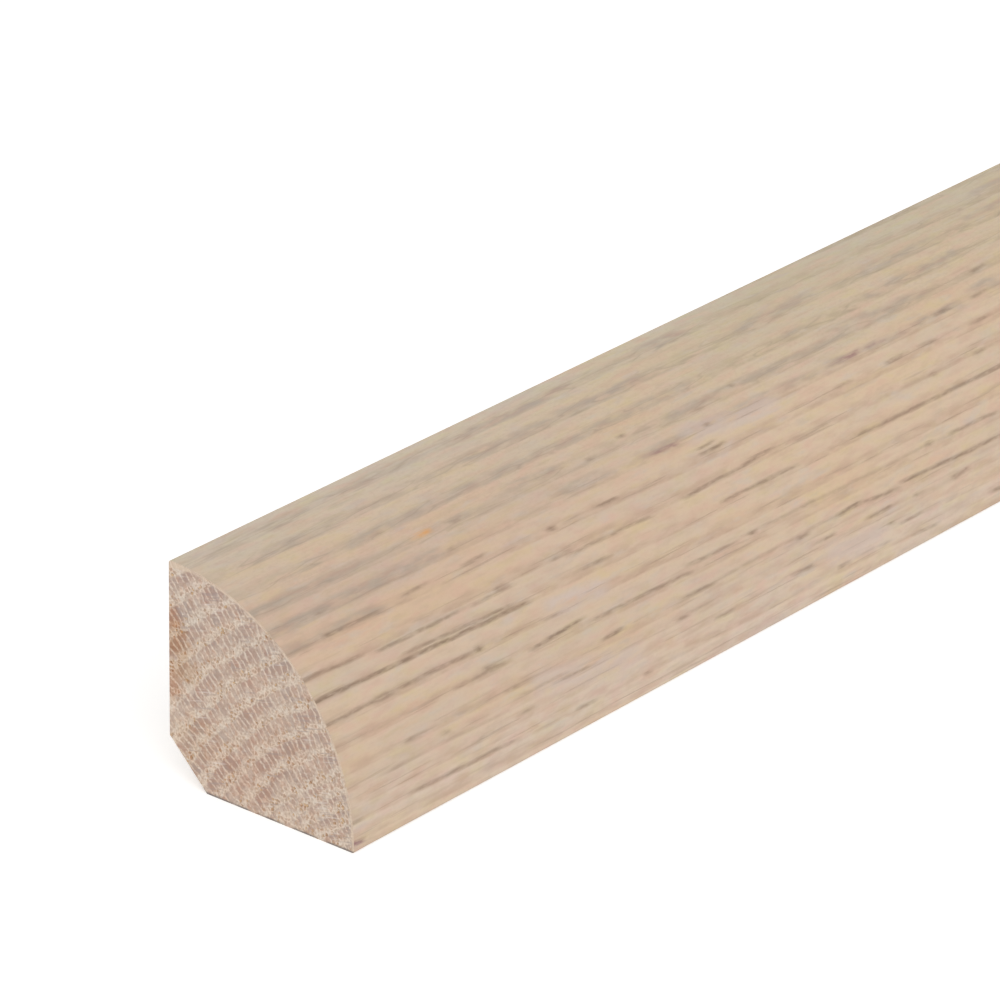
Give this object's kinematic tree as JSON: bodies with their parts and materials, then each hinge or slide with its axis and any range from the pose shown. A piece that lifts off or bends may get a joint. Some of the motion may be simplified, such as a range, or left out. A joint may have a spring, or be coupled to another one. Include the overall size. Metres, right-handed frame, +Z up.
{
  "type": "quarter round moulding",
  "caption": "Straight length of oak floor trim, quarter circle in section with a chamfered hidden corner and a pale limed finish, that covers the joint between a floor and a skirting.",
  "frame": {"origin": "under the middle of the length, on the floor face, half way between the toe and the wall face", "axes": "+X along the length, +Y out of the flat wall face at the back, -Y towards the rounded show face, +Z up from the floor face"},
  "size_m": [1.9812, 0.019, 0.019],
  "materials": {
    "limed_oak": "open-grained oak with a pale beige limed stain under a matt lacquer, and bare sawn end grain"
  },
  "bodies": {
    "root": {"quarter_round": "limed_oak"}
  },
  "joints": []
}
